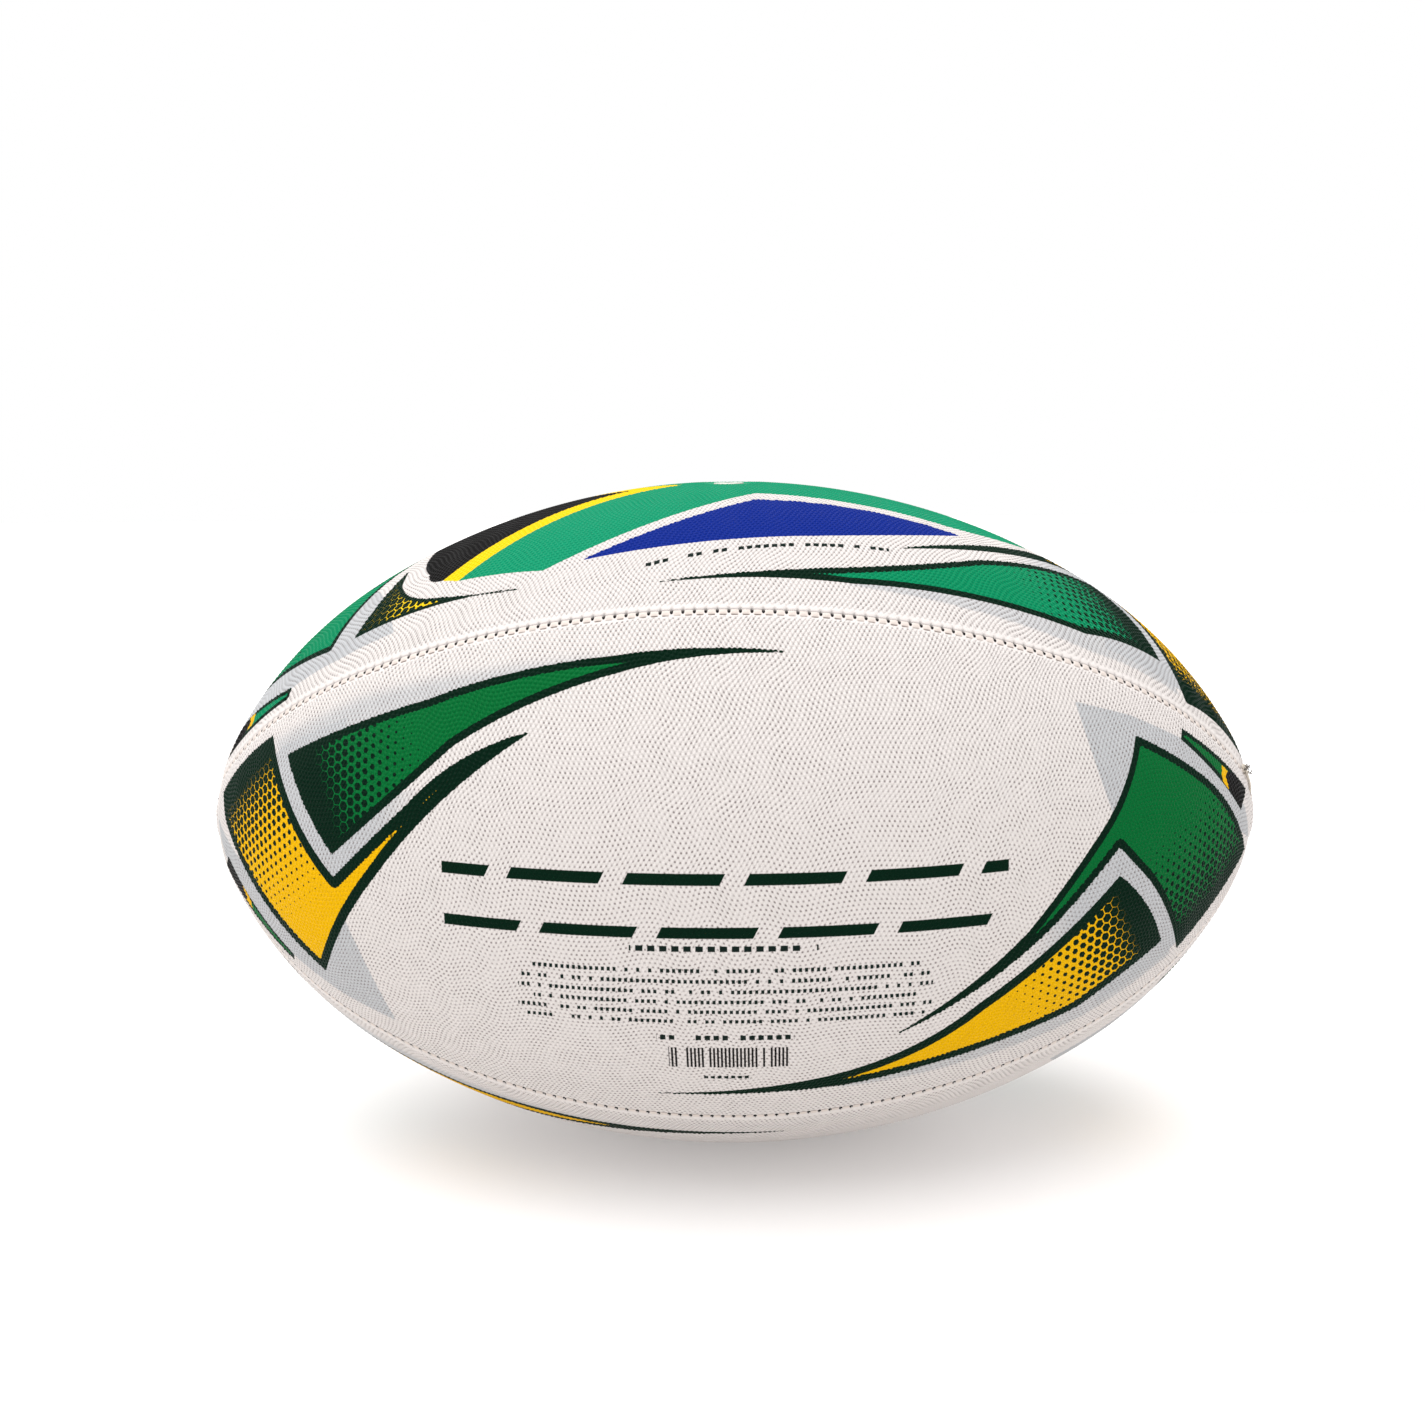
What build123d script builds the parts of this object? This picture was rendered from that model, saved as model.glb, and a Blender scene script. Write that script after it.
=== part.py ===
from build123d import *

import os
from math import copysign, cos, radians, sin, sqrt

os.makedirs("parts", exist_ok=True)

# A size 5 rugby ball. Its long axis lies along X and its valve is at the top, at +Z.
# The origin is the centre of the ball. Lengths are in millimetres, angles in degrees.
#
# From the outside in, each of its four panels is a rubber cover bonded to three fabric
# plies. All four layers turn in at the seams as one flange, and the flanges of two
# neighbouring panels are stitched face to face. A rubber bladder fills the case. The
# valve is moulded to the bladder and comes out through a hole in the top panel.

# Driving dimensions of the whole ball
ball_length = 295.0
ball_width = 188.0
belly_angle = 30.5
shoulder_angle = 58.0
nose_radius = 47.0

# The panels' layers
cover_thickness = 1.4
ply_thickness = 0.35
bond_gap = 0.05
seam_gap = 0.2
seam_rounding = 0.8
flange_depth = 6.0
pole_hole_radius = 1.5

# Stitching
thread_radius = 0.4
thread_hole_radius = 0.45
stitch_pitch = 2.75
stitch_depth = 3.4
last_stitch_radius = 8.0

# Bladder
bladder_thickness = 0.6
bladder_clearance = 0.1

# Valve
valve_hole_radius = 4.25
stem_radius = 4.15
stem_recess = 0.2
mouth_radius = 1.3
mouth_depth = 2.5
housing_radius = 5.6
housing_depth = 20.0
housing_rounding = 1.5
housing_foot_radius = 14.0
housing_foot_thickness = 1.25
chamber_radius = 3.1
chamber_depth = 18.5
patch_radius = 17.0
patch_thickness = 0.4
insert_clearance = 0.05
insert_chamfer = 0.5
needle_hole_radius = 1.1
needle_hole_depth = 14.0
slit_width = 0.1
slit_length = 2.4

# The knot that closes the last seam
knot_angle = 27.0
knot_radius = 1.15
knot_pit_radius = 1.3
knot_pit_depth = 1.5
knot_sink = 0.4
tail_radius = 0.25
tail_length = 3.0
tail_tilts = ((35, 10), (-20, 40), (5, -30))

# Worked out from the driving dimensions. The side outline is a belly arc, two shoulder
# arcs and two nose arcs, each tangent to the next. The nose arcs are centred on the
# long axis, so both ends of the ball are round.
half_length = ball_length / 2
half_width = ball_width / 2
belly_turn = radians(belly_angle)
shoulder_turn = radians(shoulder_angle)
run = half_length - nose_radius * (1 - sin(shoulder_turn))
drop = half_width - nose_radius * cos(shoulder_turn)
shoulder_run = sin(shoulder_turn) - sin(belly_turn)
shoulder_drop = cos(belly_turn) - cos(shoulder_turn)
belly_drop = 1 - cos(belly_turn)
spread = sin(belly_turn) * shoulder_drop - belly_drop * shoulder_run
belly_radius = (run * shoulder_drop - drop * shoulder_run) / spread
shoulder_radius = (sin(belly_turn) * drop - belly_drop * run) / spread

belly_centre = Vector(0, half_width - belly_radius)
to_shoulder = Vector(sin(belly_turn), cos(belly_turn)) * (belly_radius - shoulder_radius)
shoulder_centre = belly_centre + to_shoulder
nose_centre = Vector(half_length - nose_radius, 0)

# How far each layer's outer face lies inside the ball's outer surface
outer_ply_inset = cover_thickness + bond_gap
middle_ply_inset = outer_ply_inset + ply_thickness + bond_gap
inner_ply_inset = middle_ply_inset + ply_thickness + bond_gap
panel_thickness = inner_ply_inset + ply_thickness
patch_inset = panel_thickness + bond_gap
bladder_inset = patch_inset

# Half the width of a seam's two flanges, and of the thread that lies along them
flange_half_width = seam_gap / 2 + panel_thickness
thread_offset = flange_half_width + bond_gap + thread_radius
channel_half_width = thread_offset + thread_radius + bladder_clearance


def body_of_revolution(inset):
    """The solid whose surface lies evenly inside the ball's outer surface."""
    belly = belly_radius - inset
    shoulder = shoulder_radius - inset
    nose = nose_radius - inset
    shoulder_sweep = shoulder_angle - belly_angle
    nose_sweep = 90 - shoulder_angle
    tip = half_length - inset
    with BuildPart() as body:
        with BuildSketch():
            with BuildLine():
                CenterArc(belly_centre, belly, 90 - belly_angle, 2 * belly_angle)
                CenterArc(shoulder_centre, shoulder, nose_sweep, shoulder_sweep)
                CenterArc(nose_centre, nose, 0, nose_sweep)
                mirrored_centre = (-shoulder_centre.X, shoulder_centre.Y)
                CenterArc(mirrored_centre, shoulder, 90 + belly_angle, shoulder_sweep)
                CenterArc(-nose_centre, nose, 90 + shoulder_angle, nose_sweep)
                Line((-tip, 0), (tip, 0))
            make_face()
        revolve(axis=Axis.X)
    return body.part


def quarter(inset):
    """The top quarter of the body of revolution, inset from its two seam planes too."""
    apex = (seam_gap / 2 + inset) * sqrt(2)
    with BuildPart() as block:
        add(body_of_revolution(inset))
        with BuildSketch(Plane.YZ.offset(-ball_length)):
            with BuildLine():
                left = (-ball_width, apex + ball_width)
                right = (ball_width, apex + ball_width)
                Polyline((0, apex), right, left, close=True)
            make_face()
        extrude(amount=2 * ball_length, mode=Mode.INTERSECT)
        with BuildSketch(Plane.YZ.offset(-ball_length)):
            Circle(pole_hole_radius)
        extrude(amount=2 * ball_length, mode=Mode.SUBTRACT)
    return block


def along_outline(distance, inset):
    """The point at this distance from the ball's middle, measured along the outline."""
    belly = belly_radius - inset
    shoulder = shoulder_radius - inset
    nose = nose_radius - inset
    belly_end = belly * belly_turn
    shoulder_end = belly_end + shoulder * (shoulder_turn - belly_turn)
    reach = abs(distance)
    if reach < belly_end:
        centre, radius, turn = belly_centre, belly, reach / belly
    elif reach < shoulder_end:
        turn = belly_turn + (reach - belly_end) / shoulder
        centre, radius = shoulder_centre, shoulder
    else:
        turn = shoulder_turn + (reach - shoulder_end) / nose
        centre, radius = nose_centre, nose
    x = centre.X + radius * sin(turn)
    return Vector(copysign(x, distance), centre.Y + radius * cos(turn))


# The stitches of one seam, laid out in the XY plane with the long axis along X
stitches = []
distance = stitch_pitch / 2
while along_outline(distance, stitch_depth).Y > last_stitch_radius:
    stitches.append(along_outline(distance, stitch_depth))
    stitches.insert(0, along_outline(-distance, stitch_depth))
    distance += stitch_pitch

with BuildPart() as thread_holes:
    with Locations(*stitches):
        Cylinder(thread_hole_radius, 2 * (flange_half_width + seam_gap))

valve_axis_top = Plane.XY.offset(half_width)
seam_turns = {"top_back": 45, "top_front": 135, "bottom_front": 225, "bottom_back": 315}
panel_turns = {"top": 0, "front": 90, "bottom": 180, "back": 270}

knot_direction = Vector(cos(radians(knot_angle)), sin(radians(knot_angle)))
knot_spot = (nose_centre + knot_direction * nose_radius).rotate(Axis.X, seam_turns["top_front"])
knot_plane = Plane(origin=knot_spot, z_dir=knot_direction.rotate(Axis.X, seam_turns["top_front"]))


def panel_layer(inset, thickness, rounding=0.0):
    """One layer of the top panel with its two flanges and its rows of thread holes."""
    block = quarter(inset)
    if rounding:
        with block:
            seam_faces = faces().filter_by(GeomType.PLANE)
            fillet(seam_faces.edges().filter_by(GeomType.LINE, reverse=True), rounding)
    with BuildPart() as layer:
        add(block.part)
        add(quarter(inset + thickness).part, mode=Mode.SUBTRACT)
        add(body_of_revolution(flange_depth), mode=Mode.SUBTRACT)
        for seam in ("top_back", "top_front"):
            add(thread_holes.part, rotation=(seam_turns[seam], 0, 0), mode=Mode.SUBTRACT)
    return layer.part


def export_panels(name, layer, has_knot_pit=False):
    """Write one layer of all four panels. Only the top panel has the valve hole."""
    for panel, turn in panel_turns.items():
        with BuildPart() as sheet:
            add(layer, rotation=(turn, 0, 0))
            if panel == "top":
                with Locations(valve_axis_top):
                    Cylinder(valve_hole_radius, ball_width / 2, mode=Mode.SUBTRACT)
            if has_knot_pit and panel in ("top", "front"):
                with Locations(knot_plane):
                    Cylinder(knot_pit_radius, 2 * knot_pit_depth, mode=Mode.SUBTRACT)
        sheet.part.label = f"{name}_{panel}"
        export_step(sheet.part, f"parts/{name}_{panel}.step")


# Covers and plies
export_panels("cover", panel_layer(0, cover_thickness, seam_rounding), has_knot_pit=True)
export_panels("outer_ply", panel_layer(outer_ply_inset, ply_thickness))
export_panels("middle_ply", panel_layer(middle_ply_inset, ply_thickness))
export_panels("inner_ply", panel_layer(inner_ply_inset, ply_thickness))

# Seam thread: a running stitch. It goes through both flanges at each hole and lies
# along their inner faces between the holes, on one side and then on the other.
zigzag = []
side = thread_offset
for spot in stitches:
    zigzag.append((spot.X, spot.Y, side))
    zigzag.append((spot.X, spot.Y, -side))
    side = -side

with BuildPart() as running_stitch:
    with BuildLine() as thread_path:
        Polyline(*zigzag)
    with BuildSketch(Plane(origin=zigzag[0], z_dir=(0, 0, -1))):
        Circle(thread_radius)
    sweep(path=thread_path.line, transition=Transition.RIGHT)

for seam, turn in seam_turns.items():
    with BuildPart() as seam_thread:
        add(running_stitch.part, rotation=(turn, 0, 0))
    seam_thread.part.label = f"seam_thread_{seam}"
    export_step(seam_thread.part, f"parts/seam_thread_{seam}.step")


def bladder_body(wall_inset):
    """The bladder's outer form, or its inner form one wall thickness further in."""
    wall = wall_inset - bladder_inset
    dent_inset = patch_inset + patch_thickness + bond_gap + wall
    with BuildPart() as dent:
        with Locations(valve_axis_top):
            Cylinder(patch_radius + bladder_clearance + wall, ball_width / 2)
        add(body_of_revolution(dent_inset), mode=Mode.SUBTRACT)
    with BuildPart() as body:
        add(body_of_revolution(wall_inset))
        with BuildSketch(Plane.YZ.offset(-ball_length)):
            for turn in (45, 135):
                Rectangle(2 * ball_width, 2 * (channel_half_width + wall), rotation=turn)
        extrude(amount=2 * ball_length, mode=Mode.SUBTRACT)
        add(body_of_revolution(flange_depth + bladder_clearance + wall))
        add(dent.part, mode=Mode.SUBTRACT)
    return body.part


# Bladder: it swells between the flanges, so a channel runs along each seam
with BuildPart() as bladder:
    add(bladder_body(bladder_inset))
    add(bladder_body(bladder_inset + bladder_thickness), mode=Mode.SUBTRACT)
    with Locations(valve_axis_top):
        Cylinder(stem_radius + bond_gap, ball_width / 2, mode=Mode.SUBTRACT)
bladder.part.label = "bladder"
export_step(bladder.part, "parts/bladder.step")

# Valve patch: a ring that stiffens the case around the valve hole
with BuildPart() as valve_patch:
    with Locations(valve_axis_top):
        Cylinder(patch_radius, ball_width / 2)
        Cylinder(valve_hole_radius, ball_width / 2, mode=Mode.SUBTRACT)
    add(body_of_revolution(patch_inset), mode=Mode.INTERSECT)
    add(body_of_revolution(patch_inset + patch_thickness), mode=Mode.SUBTRACT)
valve_patch.part.label = "valve_patch"
export_step(valve_patch.part, "parts/valve_patch.step")

# Valve housing: a foot bonded inside the bladder's wall, a stem up to the cover and a
# barrel that hangs into the ball
foot_inset = patch_inset + patch_thickness + 2 * bond_gap + bladder_thickness
with BuildPart() as housing_foot:
    with Locations(valve_axis_top):
        Cylinder(housing_foot_radius, ball_width / 2)
    add(body_of_revolution(foot_inset), mode=Mode.INTERSECT)
    add(body_of_revolution(foot_inset + housing_foot_thickness), mode=Mode.SUBTRACT)

stem_foot = foot_inset + housing_foot_thickness / 2
with BuildPart() as valve_housing:
    with BuildSketch(Plane.XZ):
        with BuildLine():
            Polyline(
                (0, half_width),
                (stem_radius, half_width),
                (stem_radius, half_width - stem_foot),
                (housing_radius, half_width - stem_foot),
                (housing_radius, half_width - housing_depth),
                (0, half_width - housing_depth),
                close=True,
            )
        make_face()
    revolve(axis=Axis.Z)
    fillet(edges().group_by(Axis.Z)[0], housing_rounding)
    add(housing_foot.part)
    add(body_of_revolution(stem_recess), mode=Mode.INTERSECT)
    with Locations(valve_axis_top):
        Cylinder(mouth_radius, ball_width / 2, mode=Mode.SUBTRACT)
    with BuildSketch(Plane.XY.offset(half_width - chamber_depth)):
        Circle(chamber_radius)
    extrude(amount=chamber_depth - mouth_depth, mode=Mode.SUBTRACT)
valve_housing.part.label = "valve_housing"
export_step(valve_housing.part, "parts/valve_housing.step")

# Valve insert: a plug with the needle's hole, closed at its foot by a slit
insert_radius = chamber_radius - insert_clearance
insert_foot = half_width - chamber_depth + insert_clearance
insert_top = half_width - mouth_depth - insert_clearance
with BuildPart() as valve_insert:
    with BuildSketch(Plane.XY.offset(insert_foot)):
        Circle(insert_radius)
    extrude(amount=insert_top - insert_foot)
    chamfer(edges().filter_by(GeomType.CIRCLE), insert_chamfer)
    with BuildSketch(Plane.XY.offset(half_width - needle_hole_depth)):
        Circle(needle_hole_radius)
    extrude(amount=needle_hole_depth, mode=Mode.SUBTRACT)
    with BuildSketch(Plane.XY.offset(insert_foot)):
        Rectangle(slit_length, slit_width)
    extrude(amount=half_width - needle_hole_depth - insert_foot, mode=Mode.SUBTRACT)
valve_insert.part.label = "valve_insert"
export_step(valve_insert.part, "parts/valve_insert.step")

# Closing knot: the thread's ends are tied and trimmed at the right end of a seam
with BuildPart() as closing_knot:
    with Locations(knot_plane.offset(-knot_sink)):
        Sphere(knot_radius)
        for tilt_x, tilt_y in tail_tilts:
            with Locations(Location((0, 0, 0), (tilt_x, tilt_y, 0))):
                foot_up = (Align.CENTER, Align.CENTER, Align.MIN)
                Cylinder(tail_radius, tail_length, align=foot_up)
closing_knot.part.label = "closing_knot"
export_step(closing_knot.part, "parts/closing_knot.step")
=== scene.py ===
from math import cos, pi, radians, sin

import bpy
import numpy as np
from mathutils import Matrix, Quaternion, Vector
from mathutils.geometry import delaunay_2d_cdt


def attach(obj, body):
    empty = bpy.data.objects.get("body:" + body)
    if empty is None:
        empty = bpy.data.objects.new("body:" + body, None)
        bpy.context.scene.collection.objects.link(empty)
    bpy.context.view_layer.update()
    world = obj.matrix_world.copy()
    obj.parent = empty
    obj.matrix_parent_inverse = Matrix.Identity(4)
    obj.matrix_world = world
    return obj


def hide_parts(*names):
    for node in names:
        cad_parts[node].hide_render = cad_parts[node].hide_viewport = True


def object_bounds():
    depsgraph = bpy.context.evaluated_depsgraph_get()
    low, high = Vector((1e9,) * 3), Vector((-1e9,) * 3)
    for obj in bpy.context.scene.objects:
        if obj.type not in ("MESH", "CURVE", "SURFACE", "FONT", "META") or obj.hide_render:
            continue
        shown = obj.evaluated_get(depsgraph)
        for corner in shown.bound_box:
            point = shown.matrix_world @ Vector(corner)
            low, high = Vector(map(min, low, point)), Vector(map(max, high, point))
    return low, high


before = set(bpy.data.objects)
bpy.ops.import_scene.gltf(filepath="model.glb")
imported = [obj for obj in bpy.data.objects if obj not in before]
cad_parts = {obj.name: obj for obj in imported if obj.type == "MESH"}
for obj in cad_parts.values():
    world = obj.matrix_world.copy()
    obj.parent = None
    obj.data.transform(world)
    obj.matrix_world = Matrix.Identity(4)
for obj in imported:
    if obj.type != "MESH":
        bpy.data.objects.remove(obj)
cad_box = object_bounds()

# Panels are worked out in millimetres, and MM turns them into the scene's metres
MM = 0.001

# The ball's outline, the same arcs as in the CAD model: belly, shoulders and noses
BALL_LENGTH = 295.0
BALL_WIDTH = 188.0
BELLY_TURN = radians(30.5)
SHOULDER_TURN = radians(58.0)
NOSE_RADIUS = 47.0
POLE_HOLE_RADIUS = 1.5
VALVE_HOLE_RADIUS = 4.25
COVER_THICKNESS = 1.4
OUTLINE_POINTS = 6001

# Faces whose middle is nearer to the valve's middle than this lie across its hole
VALVE_FACE_RADIUS = VALVE_HOLE_RADIUS * 0.998
SMALLEST_AREA = 1e-6
SAME_PLACE = 1e-7

# Seams. The stitches are evenly spaced along the thread, which lies below the surface
STITCH_PITCH = 2.75
STITCH_DEPTH = 3.4
LAST_STITCH_RADIUS = 8.0
STITCHED_RADII = (LAST_STITCH_RADIUS - 3, LAST_STITCH_RADIUS + 1)
HALF_SEAM_GAP = 0.05
FLANGE_DEPTHS = (1.6, 3.2)
SUNK_DEPTH = 0.8

# Puckers and creases are strong on these panels' side of a seam and weaker on the other
PUCKERED_PANELS = ("front", "back")
WEAKER = 0.5

# Vertices beside a seam stand in columns at these distances from it, and in rows at these
# distances from each needle hole
SEAM_COLUMNS = (0.0, 0.12, 0.28, 0.46, 0.7, 1.0, 1.3, 1.6, 1.85)
STATIONS = (-1.0, -0.45, -0.2, 0.0, 0.2, 0.45, 1.0)
STATION_TABLE_POINTS = 20001
VALVE_RING_POINTS = 64

# The surface beside a seam. Widths and places are measured from the seam
HOLE_HALF_LENGTH = 0.27
HOLE_WIDTH = 0.8
HOLE_DEPTH = 1.3
HOLE_POWER = 1.2
PUCKER_WIDTH = 1.6
PUCKER_HEIGHT = 0.3
SWELL_POWER = 0.6
CREASE_PLACE = 1.68
CREASE_HALF_WIDTH = 0.17
CREASE_DEPTH = 0.24
EDGE_WIDTH = 0.4
EDGE_DROP = 0.22
PULL_WIDTH = 2.4
PULL_DEPTH = 0.16

# A cap rises at each pole and the cover sinks round the valve, each between two radii
POLE_CAP = 1.0
POLE_CAP_RADII = (12.5, 8.5)
VALVE_DISH = 0.5
VALVE_DISH_RADII = (9.0, 4.5)

# Pimples: a hexagonal lattice whose rows run along the ball in gentle waves
PIMPLE_PITCH = 1.3
PIMPLE_ROW = 1.17
PIMPLE_HEIGHT = 0.16
PIT_DEPTH = 0.07
WAVE_LENGTH = 19.0
SLOW_WAVE_LENGTH = 3.7 * WAVE_LENGTH
WAVE_HEIGHT = 0.8
SWAY = 0.5
SWAY_LENGTH = 16
SLOW_SWAY_LENGTH = 41

# The lattice stops this far from the poles, the seams' columns and the valve hole
POLE_MARGIN = 0.4
COLUMN_MARGIN = 0.35
VALVE_MARGIN = 0.45

# Pimples rise to their full height between these distances from a seam, from the long
# axis and from the valve hole
PUCKERED_FADE = (1.7, 2.5)
PLAIN_FADE = (0.6, 2.4)
POLE_FADE = (1.5, 5)
VALVE_FADE = (0.3, 4.0)

# A panel's place round the long axis, as a turn from the top. v runs across a panel
PANEL_TURNS = {"top": 0, "front": 90, "bottom": 180, "back": 270}


def linear(red, green, blue):
    """An sRGB colour, 0 to 255, as the linear colour that shaders take."""
    values = []
    for channel in (red, green, blue):
        c = channel / 255
        values.append(c / 12.92 if c <= 0.04045 else ((c + 0.055) / 1.055) ** 2.4)
    return (*values, 1.0)


WHITE = linear(208, 202, 199)
# Painted shadow: the grey spot straight below each pimple
SHADOW_GREY = linear(108, 99, 97)
# Painted shade on the puckers beside the seams
PUCKER_SHADE_GREY = linear(198, 184, 174)
# Painted shadow in the crease below the puckers
CREASE_SHADOW_GREY = linear(100, 88, 82)
PALE_GREY = linear(177, 178, 180)
DARK_GREEN = linear(0, 28, 15)
GREEN = linear(0, 93, 42)
# Painted light: the sweeps' green on the top panel, lighter than GREEN, standing in for the
# stronger light and sheen from above
LIT_TOP_GREEN = linear(0, 122, 80)
YELLOW = linear(216, 165, 0)
LEMON = linear(228, 190, 12)
BLACK = linear(14, 13, 13)
EMBLEM_LEAF = linear(10, 132, 94)
BLUE = linear(6, 34, 122)
DARK_INK = linear(16, 30, 26)
# Painted shade in the needle holes and on the turned-in edges deep in the seams
HOLE_SHADE_BLACK = linear(14, 11, 11)

# The print, in mm: its halftone, the dark borders of its shapes, how far ink spreads past
# its outline, and the limit of the depths that are worked out inside and outside outlines
HALFTONE_PITCH = 2.7
HALFTONE_ROW = 0.866 * HALFTONE_PITCH
BORDERS = {"green": 2.1, "yellow": 2.85, "net": 1.25, "strip": 1.3}
SPREAD = 0.32
DEPTH_LIMIT = 4.0
BOW_POINTS = 9
HALFTONE_REACH = 1.0

# Pairs of values that a soft edge or a fade runs between
INK_EDGE = (-0.08, 0.08)
MARK_EDGE = (-0.1, 0.1)
GREY_EDGE = (-0.3, 0.1)
DOT_EDGE = (-0.04, 0.04)
GREY_FADE = (72, 92)
SHARP_SHADE = (-0.3, 0.2)
SOFT_SHADE = (-3.9, 1.5)
DOME = (1.0, 0.1)
PIMPLE_SHADOW_EDGE = (0.62, 0.15)
PUCKER_RISE = (0.0, 0.5)
PUCKER_FALL = (1.9, 1.5)
PUCKER_ENDS = (0.1, 0.7)
CREASE_LINE = (0.34, 0.1)
CREASE_ENDS = (0.35, 0.75)
HOLE_EDGE = (1.15, 0.75)
PIMPLE_SHADOW_PATCHES = (0.3, 0.65)
CREASE_PATCHES = (0.35, 0.6)

# Pairs of how much a value grows or varies, and what it starts from
PIMPLE_SHADOW_STRENGTH = (0.45, 0.45)
CREASE_SHADOW_STRENGTH = (0.55, 0.4)
HOLE_HALF_LENGTHS = (0.12, 0.34)
COVER_ROUGHNESS = (0.16, 0.36)

# Places of the seam's marks, from the seam
CREASE_MARK_PLACE = 1.75
HOLE_MARK_PLACE = 0.4
LOWER_HOLE_SHIFT = 0.65

# Strengths of the cover's marks, its gloss, and the heights of its bumps in metres
RAGGED = 0.22
SHADE_STRENGTH = 0.8
LARGEST_DOT = 1.25
PUCKER_SHADE_STRENGTH = 0.6
COVER_GLOSS = 0.035
GRAIN_BUMP = 0.00002
PIMPLE_BUMP = 0.00032

# The dashes and bars that stand for words on the front and back panels, in mm
BARS_MIDDLE = -1.0
BAR_OFFSET = 6.6
BAR_HEIGHT = 2.9
BAR_PITCH = 29.0
BAR_SHARE = 0.8
BAR_SLANT = -0.5
BARS_WIDTH = 141.0

# Each line of dashes has a middle, a height, a width and a pitch
LINES = ((-11.7, 1.5, 45.5, 2.9), (-37.6, 1.6, 34.0, 2.2), (-52.2, 1.1, 12.5, 1.7))
LINE_SHARE = 0.62
PARAGRAPH_FOOT = -33.8
PARAGRAPH_LINE = 2.95
PARAGRAPH_LINES = 6
PARAGRAPH_PITCH = 1.45
PARAGRAPH_HALF_WIDTH = 50.0
PARAGRAPH_RAGGED = 2.5
STROKE_SHARE = 0.55
STROKE_HALF_HEIGHT = 0.19
BAND_EDGE = 0.12
DASH_EDGE = 0.1

# From line to line the paragraph's dashes move along by the first and its ends by the
# second, so that no two lines are alike
DASH_STEP = 31.7
END_STEP = 2.3

# The block of bars and the top panel's short line: middle and half size, across and along
BLOCK_ACROSS = (-44.6, 3.6)
BLOCK_ALONG = (0.8, 15.0)
BLOCK_PITCH = 0.95
SHORT_ACROSS = (-53.4, 0.7)
SHORT_ALONG = (11.0, 31.0)
SHORT_SLOPE = -0.2
SHORT_PITCH = 2.1
SHORT_SHARE = 0.66

# ---------------------------------------------------------------- the ball's outline


def solve_outline():
    """Tables along the outline from the ball's middle to a pole: turn, length, x, radius."""
    lengths = (sin(BELLY_TURN), sin(SHOULDER_TURN) - sin(BELLY_TURN))
    drops = (1 - cos(BELLY_TURN), cos(BELLY_TURN) - cos(SHOULDER_TURN))
    run = BALL_LENGTH / 2 - NOSE_RADIUS * (1 - sin(SHOULDER_TURN))
    drop = BALL_WIDTH / 2 - NOSE_RADIUS * cos(SHOULDER_TURN)
    belly_radius, shoulder_radius = np.linalg.solve((lengths, drops), (run, drop))
    turn = np.linspace(0, pi / 2, OUTLINE_POINTS)
    middle = (turn[1:] + turn[:-1]) / 2
    radii = np.where(middle < SHOULDER_TURN, shoulder_radius, NOSE_RADIUS)
    radii = np.where(middle < BELLY_TURN, belly_radius, radii)
    steps = np.diff(turn) * radii
    length = np.concatenate([[0], np.cumsum(steps)])
    x = np.concatenate([[0], np.cumsum(steps * np.cos(middle))])
    radius = BALL_WIDTH / 2 - np.concatenate([[0], np.cumsum(steps * np.sin(middle))])
    return turn, length, x, radius


TURN, LENGTH, X, RADIUS = solve_outline()
LAST_S = float(np.interp(-POLE_HOLE_RADIUS, -RADIUS, LENGTH))


def radius_at(s):
    return np.interp(np.abs(s), LENGTH, RADIUS)


def turn_at(s):
    return np.sign(s) * np.interp(np.abs(s), LENGTH, TURN)


def seam_at(s):
    """Half the panel's width at s, measured round the ball."""
    return radius_at(s) * pi / 4 - HALF_SEAM_GAP


def stitch_phase(s):
    """Stitches counted from the ball's middle. There is a needle hole at every half."""
    return (s - STITCH_DEPTH * turn_at(s)) / STITCH_PITCH


def place_on_ball(s, across, height, panel_turn):
    """Points at s along and across a panel, lifted by height, turned to the panel's place."""
    turn = turn_at(s)
    x = np.sign(s) * np.interp(np.abs(s), LENGTH, X) + height * np.sin(turn)
    radius = radius_at(s)
    round_x = panel_turn + across / radius
    out = radius + height * np.cos(turn)
    return np.stack([x, -out * np.sin(round_x), out * np.cos(round_x)], axis=1)


def smooth(low, high, value):
    t = np.clip((value - low) / (high - low), 0, 1)
    return t * t * (3 - 2 * t)


# ---------------------------------------------------------------- the cover's panels


def wave(s):
    """How far the rows of pimples stray across the panel at s."""
    slow = np.sin(2 * pi * s / SLOW_WAVE_LENGTH)
    return WAVE_HEIGHT * (np.sin(2 * pi * s / WAVE_LENGTH + 2 * slow) + slow)


def sway(across):
    """How far the pimples stray along the panel at each place across it."""
    slow = np.sin(2 * pi * across / SLOW_SWAY_LENGTH)
    return SWAY * (np.sin(2 * pi * across / SWAY_LENGTH) + slow)


def seam_stations():
    """Places along a seam, closer together at each needle hole, out to both poles."""
    last = float(stitch_phase(np.array(LAST_S)))
    phases = []
    for count in range(-int(last + 1) - 1, int(last + 1) + 1):
        phases += [count + 0.5 + step / STITCH_PITCH for step in STATIONS]
    phases = [p for p in phases if abs(p) < last - 0.1]
    table = np.linspace(-LAST_S, LAST_S, STATION_TABLE_POINTS)
    inner = np.interp(phases, stitch_phase(table), table)
    return np.concatenate([[-LAST_S], inner, [LAST_S]])


def squeeze(s):
    """How much the columns beside a seam close up where the panel narrows to its pole."""
    return np.minimum(1, seam_at(s) / (SEAM_COLUMNS[-1] + 1.0))


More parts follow.
